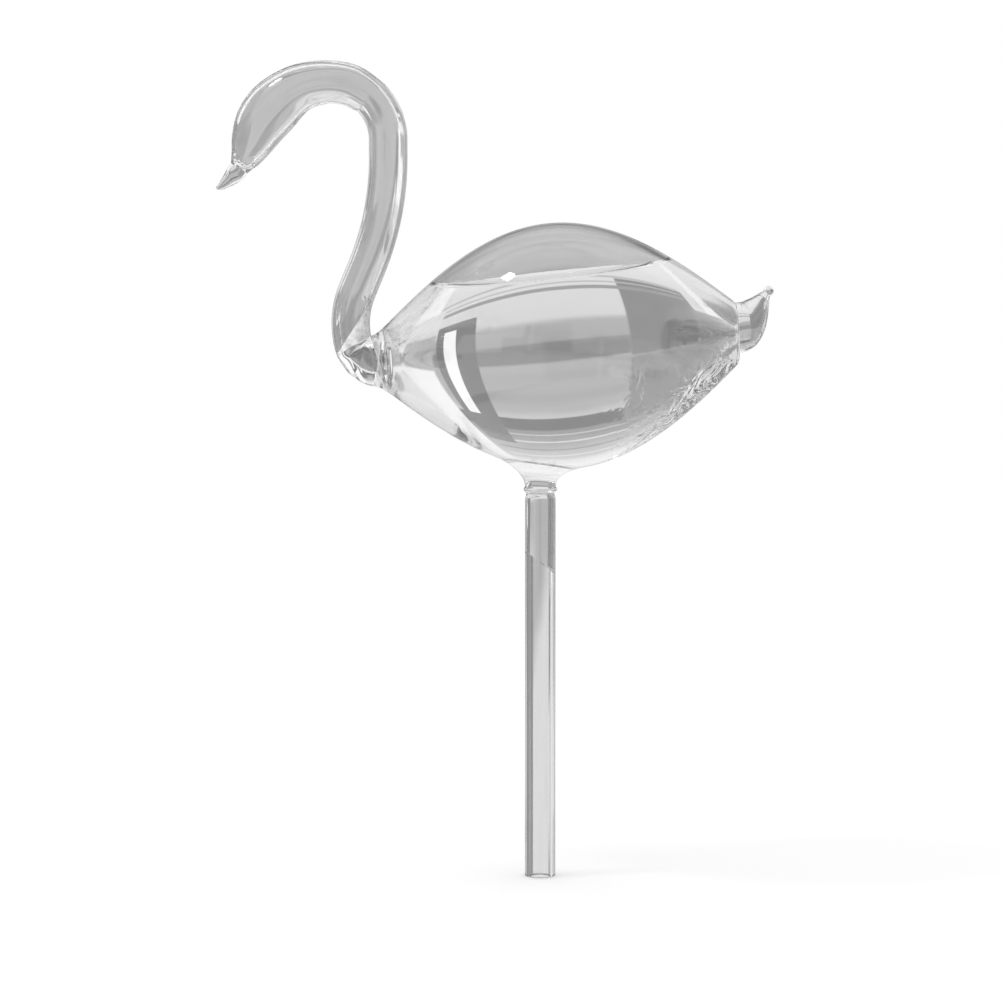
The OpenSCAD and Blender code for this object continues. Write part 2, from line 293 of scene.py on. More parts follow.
globeGlass = makeGlass("globe glass", glass["globeTint"], wave=0.3, scale=60)
addRipples(globeGlass)
tubeGlass = makeGlass("tube glass", glass["tubeTint"], wave=0.3, scale=90)
neckGlass = makeGlass("neck glass", 1, wave=0.3, scale=90, clear=glass["neckClear"])
solidGlass = makeGlass("solid glass", glass["solidTint"], wave=0.3, scale=120)
waterClear = makeGlass("clear water", 1, wave=0, scale=60, ior=glass["waterIor"])
# painted shade: the pocket's skin is tinted dark, though the air in it has no colour of its own
pocketGlassPaintedShade = makeGlass("pocket glass, painted shade", glass["pocketPaintedShade"], wave=0.5, scale=120)
weldGlass = makeWeld("weld glass")
seam = makeSeam("fused seam")
print("finishes made")


# Stem, joint and funnel

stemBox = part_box("stem_tube")
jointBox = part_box("stem_joint")
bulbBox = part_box("body_bulb")
stem = {
    "radius": stemBox[1].x / mm,
    "bore": 2.8,
    "top": stemBox[1].z / mm,
    "edge": 0.4,  # how far the foot's outer edge is melted round
    "jointTop": jointBox[1].z / mm,
    "ringRadius": jointBox[1].x / mm,
}

globe = {
    "radius": bulbBox[1].y / mm,
    "half": 55,  # from its middle to where its outline would come to a point
    "wall": 1.2,
    "shift": 5.2,
    "tilt": 4.5,
    "rise": 36.7,
    # places along its axis, from its middle
    "front": -44.2,
    "domeFrom": -41.5,
    "domeTo": -45.3,
    "rear": 46.4,
    "hollowRear": 43.4,
    "tailRadius": 6.6,
    "tailHole": 5.4,
    "funnelRadius": 11.5,
    "mouthRadius": 9,
    "funnelPull": 0.42,  # how softly the funnel leaves the stem and meets the belly
}
globeMiddle = Vector((globe["shift"], 0, stem["jointTop"] + globe["rise"]))
tilt = radians(globe["tilt"])


def onAxis(s, up=0):
    return globeMiddle.x + s * cos(tilt) - up * sin(tilt), globeMiddle.z + s * sin(tilt) + up * cos(tilt)


def lemonRadius(s):
    return globe["radius"] * cos(pi / 2 * s / globe["half"])


def innerRadius(s):
    slope = globe["radius"] / globe["half"] * pi / 2 * sin(pi / 2 * s / globe["half"])
    return lemonRadius(s) - globe["wall"] * sqrt(1 + slope ** 2)


def hollowRadius(s):
    # the hollow ends in a round dome inside the thick glass of the breast
    share = max(0, (globe["domeFrom"] - s) / (globe["domeFrom"] - globe["domeTo"]))
    return innerRadius(s) * sqrt(max(1 - share ** 2, 0))


def undersideHeight(x, y, radiusAt):
    # starts from below the belly and halves the gap until it meets the skin
    low, high = globeMiddle.z - globe["radius"] - 3, globeMiddle.z
    for _ in range(40):
        z = (low + high) / 2
        across, rise = x - globeMiddle.x, z - globeMiddle.z
        s = across * cos(tilt) + rise * sin(tilt)
        up = rise * cos(tilt) - across * sin(tilt)
        if hypot(up, y) > radiusAt(s):
            low = z
        else:
            high = z
    return (low + high) / 2


def turned(outline):
    return [ringAt(0, z, r, 90) for r, z in outline]


def funnelRings(foot, rimRadius, radiusAt, count):
    rings = [[] for _ in range(count + 1)]
    feel = 0.03  # the share of the rim's radius over which the belly's slope is taken
    for corner in ringAt(0, 0, 1, 90):
        rim = Vector((corner.x * rimRadius, corner.y * rimRadius))
        inner = rim * (1 - feel)
        top = undersideHeight(rim.x, rim.y, radiusAt)
        slope = (top - undersideHeight(inner.x, inner.y, radiusAt)) / (feel * rimRadius)
        start, end = Vector((foot[0], foot[1])), Vector((rimRadius, top))
        pull = globe["funnelPull"] * (rimRadius - foot[0])
        leave, arrive = start + Vector((0, pull)), end - pull * Vector((1, slope))
        for i in range(count + 1):
            t = i / count
            near = (1 - t) ** 3 * start + 3 * t * (1 - t) ** 2 * leave
            at = near + 3 * t * t * (1 - t) * arrive + t ** 3 * end
            rings[i].append(Vector((corner.x * at.x, corner.y * at.x, at.y)))
    return rings


def makeStem():
    r, edge, top = stem["radius"], stem["edge"], stem["top"]
    foot = [(r - edge + edge * sin(a), edge - edge * cos(a)) for a in stepsFrom(0, pi / 2, 6)]
    shape = newShape()
    # rings of points up the tube; the last three draw it in a little to the joint
    outer = turned(foot + [(r, 30), (r, 60), (r, top - 1.4), (r, top - 0.7), (r - 0.03, top)])
    inner = turned([(stem["bore"], 0), (stem["bore"], 30), (stem["bore"], 60), (stem["bore"], top)])
    addSkin(shape, outer)
    addSkin(shape, inner, inward=True)
    addSkin(shape, [inner[0], outer[0]])
    addSkin(shape, [outer[-1], inner[-1]], 1)
    makePiece("stemTube", shape, [tubeGlass, seam], "tube_glass", "stem_tube")


def jointOutline():
    r, ring, low, high = stem["radius"], stem["ringRadius"], stem["top"], stem["jointTop"]
    # radius and share of the height: in to the waist, then out round the ring
    shares = [
        (r - 0.03, 0), (r - 0.12, 0.12), (r - 0.3, 0.3), (r - 0.3, 0.42), (r - 0.1, 0.52),
        (ring - 0.05, 0.66), (ring, 0.76), (ring - 0.1, 0.88), (r, 1),
    ]
    points = [(a, low + (high - low) * b) for a, b in shares]
    return [(p[0], p[1]) for p in smoothRun(points, 4)]


def makeJoint():
    outer = turned(jointOutline())
    inner = turned([(stem["bore"], z) for z in stepsFrom(stem["top"], stem["jointTop"], 4)])
    shape = newShape()
    addSkin(shape, outer)
    addSkin(shape, inner, inward=True)
    addSkin(shape, [inner[0], outer[0]], 1)
    addSkin(shape, [outer[-1], inner[-1]], 1)
    makePiece("stemJoint", shape, [tubeGlass, seam], "solid_glass", "stem_joint")


def makeFunnel():
    outer = funnelRings((stem["radius"], stem["jointTop"]), globe["funnelRadius"], lemonRadius, 20)
    inner = funnelRings((stem["bore"], stem["jointTop"]), globe["mouthRadius"], innerRadius, 20)
    shape = newShape()
    addSkin(shape, outer)
    addSkin(shape, inner, inward=True)
    addSkin(shape, [inner[0], outer[0]], 1)
    addSkin(shape, [outer[-1], inner[-1]], 1)
    makePiece("stemCollar", shape, [globeGlass, seam], "globe_glass", "stem_collar")


makeStem()
makeJoint()
makeFunnel()
print("stem, joint and funnel made")


# Globe

def roundGlobe(stations, radiusAt):
    return [ringAt(*onAxis(s), radiusAt(s), globe["tilt"]) for s in stations]


def looseShape(name, shape, materials, finish=None):
    # a closed body that only cuts, marks or fills another one
    mesh = newMesh(name, shape, materials, turnOutward=True)
    if finish is not None:
        for face in mesh.polygons:
            face.material_index = finish
    return addObject(name, mesh)


def mouthCutter():
    # a short cone through the belly's wall, as wide as the funnel's rim
    low = stem["jointTop"]
    past = 1.5
    shape = newShape()
    rimOut = funnelRings((stem["radius"], low), globe["funnelRadius"], lemonRadius, 1)[-1]
    rimIn = funnelRings((stem["bore"], low), globe["mouthRadius"], innerRadius, 1)[-1]
    below = [a + (a - b) * past for a, b in zip(rimOut, rimIn)]
    above = [b + (b - a) * past for a, b in zip(rimOut, rimIn)]
    addSkin(shape, [below, rimOut, rimIn, above], 1)
    addCap(shape, below, 1)
    addCap(shape, above, 1, inward=True)
    return looseShape("mouth cutter", shape, [globeGlass, seam])


def joinShapes(piece, other, operation):
    bite = piece.modifiers.new("bite", "BOOLEAN")
    bite.operation = operation
    bite.object = other
    bite.solver = "EXACT"
    bite.material_mode = "INDEX"
    graph = bpy.context.evaluated_depsgraph_get()
    made = bpy.data.meshes.new_from_object(piece.evaluated_get(graph))
    piece.modifiers.clear()
    piece.data = made
    bpy.data.objects.remove(other)


def copyOf(piece):
    return addObject("twin", piece.data.copy())


def fuseInside(piece, other, skin, marked):
    # where one piece's skin lies inside the other there is no glass surface: it becomes the fused seam
    halves = bmesh.new()
    for operation in ("INTERSECT", "DIFFERENCE"):
        half = copyOf(piece)
        joinShapes(half, copyOf(other), operation)
        for face in half.data.polygons:
            if operation == "INTERSECT" and face.material_index == skin:
                face.material_index = 1
        halves.from_mesh(half.data)
        bpy.data.objects.remove(half)
    strays = [face for face in halves.faces if face.material_index == marked]
    bmesh.ops.delete(halves, geom=strays, context="FACES")
    bmesh.ops.remove_doubles(halves, verts=halves.verts, dist=2 * sameCorner)
    halves.to_mesh(piece.data)
    halves.free()


def partWay(ring, other, share, setBack):
    # a ring part of the way to another one, set back along the globe
    back = Vector((cos(tilt), 0, sin(tilt))) * -setBack * (1 - share)
    return [a.lerp(b, share) + back for a, b in zip(ring, other)]


def makeGlobe():
    front, rear, tailRadius = globe["front"], globe["rear"], globe["tailRadius"]
    tailMiddle = onAxis(rear, lemonRadius(rear) - tailRadius)
    tailRing = ringAt(*tailMiddle, tailRadius, globe["tilt"])
    holeRing = ringAt(*tailMiddle, globe["tailHole"], globe["tilt"])
    outer = roundGlobe(stepsFrom(front, rear, 130), lemonRadius)
    inner = roundGlobe(stepsFrom(front, globe["hollowRear"], 120), hollowRadius)
    shape = newShape()
    # the rim rolls in to the tail: shares of the way there, and how far each ring is set back
    rollIn = (0.12, 0.3), (0.35, 0.5), (0.65, 0.45), (0.88, 0.2)
    rolled = [partWay(outer[-1], tailRing, share, setBack) for share, setBack in rollIn]
    addSkin(shape, outer[:-1] + rolled + [tailRing])
    addSkin(shape, [tailRing, holeRing], 1)
    addSkin(shape, inner + [holeRing], inward=True)
    addSkin(shape, [inner[0], outer[0]], 1)
    piece = makePiece("bodyBulb", shape, [globeGlass, seam], "globe_glass", "body_bulb")
    joinShapes(piece, mouthCutter(), "DIFFERENCE")


makeGlobe()
print("globe made")


# Breast

breast = {"noseRadius": 6.2, "noseBack": 6, "blend": 1.5, "noseEnd": 0.9}
noseAt = -(globe["half"] - breast["noseBack"])


def softMax(a, b, d):
    return (a + b + hypot(a - b, d)) / 2


def noseRadius(s):
    return sqrt(max(breast["noseRadius"] ** 2 - (s - noseAt) ** 2, 0))


def breastRadius(s):
    plain = lemonRadius(globe["front"])
    gain = softMax(plain, noseRadius(globe["front"]), breast["blend"]) - plain
    share = (s - noseAt) / (globe["front"] - noseAt)
    return softMax(lemonRadius(s), noseRadius(s), breast["blend"]) - gain * share


def domeStations(start):
    # close together near the tip, where the dome turns fastest
    first, last = globe["domeFrom"], globe["domeTo"]
    turn = asin((first - start) / (first - last))
    return [first + (last - first) * sin(a) for a in stepsFrom(radians(86), turn, 16)]


def breastShape():
    end = noseAt - breast["noseEnd"] * breast["noseRadius"]
    outer = roundGlobe(stepsFrom(end, globe["front"], 40), breastRadius)
    shape = newShape()
    addSkin(shape, outer)
    addCap(shape, outer[0])
    hollow = roundGlobe(domeStations(globe["front"])[::-1], hollowRadius)
    addSkin(shape, [outer[-1], hollow[0]], 1)
    addSkin(shape, hollow)
    addCap(shape, hollow[-1], inward=True)
    return shape


# Neck, from its forward belly up to the crown

neck = {
    "radius": 5, "wall": 1.8, "uneven": 0.1,
    "out": 5.9, "up": 9.85,  # where the belly of the neck stands from the nose of the globe
    "lowBend": 22, "lean": 22.5, "middle": 6.5, "topBend": 75, "upright": 4.6, "crown": 15.5, "headAt": 45,
    "fold": 6.8, "foldDrop": 3, "sealAt": 208, "sealLow": 30, "sealHigh": 57,
    "rootAt": 244, "rootRadius": 5.8,
    "rootPast": 4,  # how far past the seal's edge the fold's sections run, in degrees
}
lean = radians(neck["lean"])
belly = Vector(onAxis(noseAt)) + Vector((-neck["out"], neck["up"]))
lowMid = belly + Vector((neck["lowBend"], 0))
leanFrom = lowMid + neck["lowBend"] * Vector((-cos(lean), sin(lean)))
leanTo = leanFrom + neck["middle"] * Vector((sin(lean), cos(lean)))
topMid = leanTo + neck["topBend"] * Vector((-cos(lean), sin(lean)))
crownMid = topMid + Vector((neck["topBend"] - neck["crown"], neck["upright"]))
foldMid = belly + Vector((neck["fold"], -neck["foldDrop"]))


def onBend(mid, bend, turn):
    return mid + bend * Vector((cos(radians(turn)), sin(radians(turn))))


sealEdge = onBend(foldMid, neck["fold"] + neck["radius"], neck["sealAt"])


def aroundBend(mid, bend, start, end, radius, count):
    return [
        (mid.x + bend * cos(radians(a)), mid.y + bend * sin(radians(a)), radius, a + 90)
        for a in stepsFrom(start, end, count)
    ]


def faceTurns(mid, bend, radius, faceSlope):
    # the places round a bend, in degrees, where a bar's surface lines meet one of the seal's sloping faces
    facing = faceSlope - 90
    gap = (sealEdge - mid).dot(Vector((cos(radians(facing)), sin(radians(facing)))))
    outs = [bend + radius * cos(2 * pi * i / sides) for i in range(sides)]
    return [facing - degrees(acos(max(-1, min(1, gap / out)))) + 360 for out in outs]


def bentRing(mid, bend, radius, turns):
    ring = []
    for i, turn in enumerate(turns):
        t = 2 * pi * i / sides
        out = bend + radius * cos(t)
        at = radians(turn)
        ring.append(Vector((mid.x + out * cos(at), radius * sin(t), mid.y + out * sin(at))))
    return ring


def mixed(a, b, share):
    return [x + (y - x) * share for x, y in zip(a, b)]


# height, count round the tube and start of each wave in an uneven wall
wallWaves = (1, 3, 0), (0.6, 5, 1.3), (0.4, 7, 0.4)


def uneven(rings, depth, twist, start=0):
    # drawn and bent tube never has an even wall, which is what puts the long streaks in it
    made = []
    for step, ring in enumerate(rings):
        middle = sum(ring, Vector()) / len(ring)
        row = []
        for i, corner in enumerate(ring):
            t = 2 * pi * i / len(ring) + start + twist * step / (len(rings) - 1)
            wave = sum(high * sin(often * t + begin) for high, often, begin in wallWaves)
            row.append(corner + (corner - middle).normalized() * wave * depth)
        made.append(row)
    return made


def neckRings(radius):
    start = faceTurns(lowMid, neck["lowBend"], radius, neck["sealHigh"])
    end = [180 - neck["lean"]] * sides
    shares = stepsFrom(0, 1, 24)
    low = [bentRing(lowMid, neck["lowBend"], radius, mixed(start, end, share)) for share in shares]
    up = aroundBend(topMid, neck["topBend"], -neck["lean"], 0, radius, 24)
    over = aroundBend(crownMid, neck["crown"], 0, neck["headAt"], radius, 20)
    return low + ringsOf(up) + ringsOf(over)


def makeNeck():
    outer = neckRings(neck["radius"])
    inner = uneven(neckRings(neck["radius"] - neck["wall"]), neck["uneven"], 1)
    shape = newShape()
    addSkin(shape, outer)
    addSkin(shape, inner, inward=True)
    addSkin(shape, [inner[0], outer[0]], 1)
    addSkin(shape, [outer[-1], inner[-1]], 1)
    makePiece("neckTube", shape, [neckGlass, seam], "tube_glass", "neck_tube")


def sealRings(count):
    bend, radius = neck["lowBend"], neck["radius"]
    low = faceTurns(lowMid, bend, radius, neck["sealLow"])
    high = faceTurns(lowMid, bend, radius, neck["sealHigh"])
    return [bentRing(lowMid, bend, radius, mixed(low, high, share)) for share in stepsFrom(0, 1, count)]


def makeSeal():
    bend, bore = neck["lowBend"], neck["radius"] - neck["wall"]
    outer = sealRings(12)
    highBore = bentRing(lowMid, bend, bore, faceTurns(lowMid, bend, bore, neck["sealHigh"]))
    shape = newShape()
    addSkin(shape, outer)
    addCap(shape, outer[0], 1)
    addSkin(shape, [outer[-1], highBore], 1)
    addCap(shape, highBore, inward=True)
    makePiece("neckSeal", shape, [weldGlass, seam], "solid_glass", "neck_seal")


def rootShape():
    # from its round end in the breast back up round the fold to the seal's lower face
    swell = neck["rootRadius"]
    endWay = neck["rootAt"] - 90
    along = Vector((cos(radians(endWay)), sin(radians(endWay))))
    last = onBend(foldMid, neck["fold"], neck["rootAt"])
    sections = []
    for a in stepsFrom(nearTip, 0, 16):
        x, z = last - swell * sin(radians(a)) * along
        sections.append((x, z, swell * cos(radians(a)), endWay))
    for share in stepsFrom(0, 1, 16)[1:]:
        turn = neck["rootAt"] + (neck["sealAt"] + neck["rootPast"] - neck["rootAt"]) * share
        radius = swell + (neck["radius"] - swell) * share * share * (3 - 2 * share)
        x, z = onBend(foldMid, neck["fold"], turn)
        sections.append((x, z, radius, turn - 90))
    rings = ringsOf(sections) + [sealRings(1)[0]]
    shape = newShape()
    addSkin(shape, rings)
    addCap(shape, rings[0])
    addCap(shape, rings[-1], 1, inward=True)
    return shape


pocket = {
    "from": (-49.2, 137.2), "to": (-40.9, 134.9), "high": 2.3, "deep": 1.3,
    "lean": 0.35,  # how far its fullest place lies towards the blunt end
}


def addPocket(shape):
    # the squashed bubble of air left in the fold, pointed at the seal and blunt at the other end
    start, end = Vector(pocket["from"]), Vector(pocket["to"])
    along = (end - start).normalized()
    up = Vector((-along.y, along.x))
    rings = []
    for a in stepsFrom(-nearTip, nearTip, 32):
        s = sin(radians(a))
        size = cos(radians(a)) * (1 + pocket["lean"] * s)
        middle = (start + end) / 2 + (end - start) * s / 2
        ring = []
        for i in range(sides):
            t = 2 * pi * i / sides
            rise = up * size * pocket["high"] * cos(t)
            ring.append(Vector((middle.x + rise.x, size * pocket["deep"] * sin(t), middle.y + rise.y)))
        rings.append(ring)
    # its skin takes the fourth finish, glass darkened with painted shade
    addSkin(shape, rings, 3, inward=True)
    addCap(shape, rings[0], 3, inward=True)
    addCap(shape, rings[-1], 3)


def makeRootAndBreast():
    # the third finish marks the other body's skin while the two are cut, and then becomes the first again
    finishes = [solidGlass, seam, solidGlass, pocketGlassPaintedShade]
    whole = rootShape()
    rootBody = looseShape("root body", whole, finishes, 2)
    breastBody = looseShape("breast body", breastShape(), finishes, 2)
    addPocket(whole)
    root = makePiece("neckRoot", whole, finishes, "solid_glass", "neck_root")
    fuseInside(root, breastBody, 0, 2)
    front = makePiece("breastTip", breastShape(), finishes, "solid_glass", "breast_tip")
    for face in rootBody.data.polygons:
        face.material_index = 1
    joinShapes(front, rootBody, "DIFFERENCE")
    bpy.data.objects.remove(breastBody)
    for piece in (root, front):
        for face in piece.data.polygons:
            face.material_index = 0 if face.material_index == 2 else face.material_index
        smoothOver(piece.data)


makeNeck()
makeSeal()
makeRootAndBreast()
print("neck, seal, root and breast made")


# Head and beak

head = {
    "wall": 1.6, "uneven": 0.1, "radius": 7.2, "reach": 23.3, "swell": 1,
    "flat": 0.6,  # how far the crown's top is pressed in
    "beakRadius": 2.45, "beakLength": 8, "beakBend": -19,
}


def fromCrown(x, z, radius, way):
    return [crownMid.x + x * head["reach"], crownMid.y + z * neck["crown"], radius, way]


def alongCrown(turn, radius, out=0):
    x, z = onBend(crownMid, neck["crown"] + out, turn)
    return [x, z, radius, turn + 90]


def stepOn(section, length, turn, radius):
    way = radians(section[3] + turn)
    return [section[0] + length * cos(way), section[1] + length * sin(way), radius, section[3] + turn]


crownTop = neck["radius"] + head["swell"]
crownSide = (neck["radius"] + crownTop) / 2
headSections = [
    alongCrown(neck["headAt"], neck["radius"]),
    alongCrown((neck["headAt"] + 90) / 2, crownSide - 0.05, -head["flat"] / 2),
    alongCrown(90, crownTop - 0.4, -head["flat"]),
    fromCrown(-0.253, 0.903, crownTop, 194),
    fromCrown(-0.446, 0.755, head["radius"] * 0.92, 213),
    fromCrown(-0.618, 0.529, head["radius"], 227),
    fromCrown(-0.764, 0.245, head["radius"] * 0.94, 239),
    fromCrown(-0.863, -0.065, head["radius"] * 0.76, 246),
    fromCrown(-0.931, -0.297, head["radius"] * 0.55, 244),
    fromCrown(-1, -0.477, head["beakRadius"], 241),
]


def makeHead():
    outer = smoothRun(headSections, 10)
    hollow = [[x, z, r - head["wall"], way] for x, z, r, way in smoothRun(headSections[:-1], 10)]
    hollow += roundedEnd(hollow[-1])
    shape = newShape()
    rings = ringsOf(outer)
    inner = uneven(ringsOf(hollow), head["uneven"], 0.8, 1)
    addSkin(shape, rings)
    addSkin(shape, inner, inward=True)
    addCap(shape, inner[-1])
    addSkin(shape, [inner[0], rings[0]], 1)
    addCap(shape, rings[-1], 1, inward=True)
    makePiece("headGlass", shape, [neckGlass, seam], "tube_glass", "head")


def makeBeak():
    root = headSections[-1]
    length, bend, radius = head["beakLength"], head["beakBend"], head["beakRadius"]
    # shares of the length, of the bend and of the radius
    shares = (0.25, 0.5, 0.98), (0.55, 0.7, 0.7), (0.84, 0.85, 0.4), (0.97, 0.98, 0.2), (1, 1, 0.05)
    sections = [root]
    for far, turn, thick in shares:
        sections.append(stepOn(root, length * far, bend * turn, radius * thick))
    rings = ringsOf(smoothRun(sections, 8))
    shape = newShape()
    addSkin(shape, rings)
    addCap(shape, rings[0], 1)
    addCap(shape, rings[-1], inward=True)
    makePiece("beakGlass", shape, [solidGlass, seam], "solid_glass", "beak")


makeHead()
makeBeak()
print("head and beak made")


# Tail

tail = {
    "wall": 1.2, "uneven": 0.08, "rootRadius": globe["tailRadius"], "endRadius": 1.1, "bead": 1.35,
    "reach": 7.7, "rise": 8.9,
}
tailFoot = onAxis(globe["rear"], lemonRadius(globe["rear"]) - tail["rootRadius"])


def fromTail(x, z, share, way):
    radius = tail["endRadius"] + (tail["rootRadius"] - tail["endRadius"]) * share
    return [tailFoot[0] + x * tail["reach"], tailFoot[1] + z * tail["rise"], radius, way]


tailSections = [
    fromTail(0, 0, 1, globe["tilt"]),
    fromTail(0.21, 0.035, 0.98, 10),
    fromTail(0.4, 0.16, 0.86, 26),
    fromTail(0.585, 0.44, 0.58, 48),
    fromTail(0.79, 0.74, 0.27, 57),
    fromTail(1, 1, 0, 52),
]


def tailHollow():
    hollow = [[x, z, r - tail["wall"], way] for x, z, r, way in smoothRun(tailSections[:-1], 10)]
    return hollow + roundedEnd(hollow[-1])


def makeTail():
    outer = ringsOf(smoothRun(tailSections, 10))
    inner = uneven(ringsOf(tailHollow()), tail["uneven"], 0.5)
    shape = newShape()
    addSkin(shape, outer)
    addSkin(shape, inner, inward=True)
    addCap(shape, inner[-1])
    addSkin(shape, [inner[0], outer[0]], 1)
    addCap(shape, outer[-1], 1, inward=True)
    makePiece("tailGlass", shape, [tubeGlass, seam], "tube_glass", "tail")


def makeTailBead():
    x, z, radius, way = tailSections[-1]
    bead = tail["bead"]
    out = sqrt(bead ** 2 - radius ** 2)
    rings = []
    for a in stepsFrom(-asin(out / bead), radians(86), 24):
        at = onBend(Vector((x, z)), out + bead * sin(a), way)
        rings.append(ringAt(at.x, at.y, bead * cos(a), way))
    shape = newShape()
    addSkin(shape, rings)
    addCap(shape, rings[0], 1)
    addCap(shape, rings[-1], inward=True)
    makePiece("tailBead", shape, [solidGlass, seam], "solid_glass", "tail_bead")


makeTail()
makeTailBead()
print("tail and bead made")


# Water, from the stem up through the funnel to its surface in the globe and the tail

water = {
    "level": 156.4, "slope": 6, "lean": 4,
    "overlap": 0.12,  # how far it reaches into the glass, so that no gap of air is left
    "climb": 2.4, "climbReach": 0.9,  # how high and how far in it creeps up the glass
    "stemEnd": 82.8, "stemSlant": 42,
    "sharpAngle": 35,
}


def stemWater():
    # down through the funnel and the joint to a slanting end in the stem
    spread = water["overlap"]
    bore, mouth = stem["bore"] + spread, globe["mouthRadius"] + spread
    funnel = funnelRings((bore, stem["jointTop"]), mouth, lambda s: innerRadius(s) + spread, 20)
    slant = tan(radians(water["stemSlant"]))
    end = [corner - Vector((0, 0, corner.x * slant)) for corner in ringAt(0, water["stemEnd"], bore, 90)]
    # its top ring stands a little up and in from the rim, inside the rest of the water
    upIn = 2
    inside = []
    for corner in funnel[-1]:
        outward = Vector((corner.x, corner.y, 0)).normalized()
        inside.append(corner + Vector((0, 0, upIn)) - upIn * outward)
    shape = newShape()
    addSkin(shape, [end, ringAt(0, stem["jointTop"] - 4, bore, 90)] + funnel + [inside])
    addCap(shape, end)
    addCap(shape, inside, inward=True)
    return looseShape("stem water", shape, [waterClear])


def waterRing(s, reach):
    # one slice square to the globe's axis: the glass all round, cut off by the surface, which climbs it
    x, z = onAxis(s)
    dip = tan(radians(water["lean"]))
    flat = water["level"] - z + (x - globeMiddle.x) * tan(radians(water["slope"]))
    edge = flat + water["climb"]
    inside = reach ** 2 * (1 + dip ** 2) - edge ** 2
    if inside > 0:
        near = (-dip * edge - sqrt(inside)) / (1 + dip ** 2)
        far = (-dip * edge + sqrt(inside)) / (1 + dip ** 2)
        ends = atan2(near, edge + dip * near), atan2(far, edge + dip * far)
    else:
        near = far = 0
        ends = 0, 0
    turns = stepsFrom(ends[1], ends[0] + 2 * pi, sides)
    outline = [(reach * sin(turn), reach * cos(turn)) for turn in turns]
    for i in range(1, surfaceSteps):
        y = near + (far - near) * (0.5 - 0.5 * cos(pi * i / surfaceSteps))
        rise = exp((near - y) / water["climbReach"]) + exp((y - far) / water["climbReach"])
        up = flat + dip * y + water["climb"] * min(rise, 1)
        outline.append((y, min(up, sqrt(max(reach ** 2 - y ** 2, 0)))))
    return [Vector((onAxis(s, up)[0], y, onAxis(s, up)[1])) for y, up in outline]


def fullRing(x, z, radius, way):
    # where the glass is full to the top, with as many points as a slice has
    turns = stepsFrom(0, 2 * pi, sides) + [0] * (surfaceSteps - 1)
    up = Vector((-sin(radians(way)), 0, cos(radians(way))))
    return [Vector((x, radius * sin(t), z)) + up * radius * cos(t) for t in turns]


def makeWater():
    spread, first, last = water["overlap"], globe["domeFrom"], globe["domeTo"]
    rings = []
    for s in domeStations(first):
        rings.append(waterRing(s - spread * (first - s) / (first - last), hollowRadius(s) + spread))
    rings += [waterRing(s, innerRadius(s) + spread) for s in stepsFrom(first, globe["hollowRear"], 160)[1:]]
    rings += [fullRing(x, z, radius + spread, way) for x, z, radius, way in tailHollow()]
    shape = newShape()
    addSkin(shape, rings)
    addCap(shape, rings[0])
    addCap(shape, rings[-1], inward=True)
    piece = makePiece("water", shape, [waterClear], "water")
    work = bmesh.new()
    work.from_mesh(piece.data)
    bmesh.ops.dissolve_degenerate(work, dist=sameCorner, edges=work.edges)
    bmesh.ops.recalc_face_normals(work, faces=work.faces)
    work.to_mesh(piece.data)
    work.free()
    joinShapes(piece, stemWater(), "UNION")
    smoothOver(piece.data, water["sharpAngle"])


makeWater()
print("water made")


# Floor, studio and lamp

floorLook = {"size": 3, "white": 0.86, "glow": 0.2}


def addFloor():
    size = floorLook["size"]
    mesh = bpy.data.meshes.new("floor")
    corners = [(-size, -size, 0), (size, -size, 0), (size, size, 0), (-size, size, 0)]
    mesh.from_pydata(corners, [], [(0, 1, 2, 3)])
    floor = addObject("floor", mesh)
    material, tree, output = newMaterial("pale floor")
    matt = tree.nodes.new("ShaderNodeBsdfDiffuse")
    matt.inputs["Color"].default_value = (floorLook["white"],) * 3 + (1,)
    glow = tree.nodes.new("ShaderNodeEmission")
    glow.inputs["Strength"].default_value = floorLook["glow"]
    both = tree.nodes.new("ShaderNodeAddShader")
    clear = tree.nodes.new("ShaderNodeBsdfTransparent")  # the glass shows the studio's lower half here
    rays = tree.nodes.new("ShaderNodeLightPath")
    pick = tree.nodes.new("ShaderNodeMixShader")
    inGlass = addNumber(tree, "MAXIMUM", rays.outputs["Is Glossy Ray"], rays.outputs["Is Transmission Ray"])
    tree.links.new(matt.outputs["BSDF"], both.inputs[0])
    tree.links.new(glow.outputs["Emission"], both.inputs[1])
    tree.links.new(inGlass, pick.inputs["Fac"])
    tree.links.new(both.outputs["Shader"], pick.inputs[1])
    tree.links.new(clear.outputs["BSDF"], pick.inputs[2])
    tree.links.new(pick.outputs["Shader"], output.inputs["Surface"])
    mesh.materials.append(material)


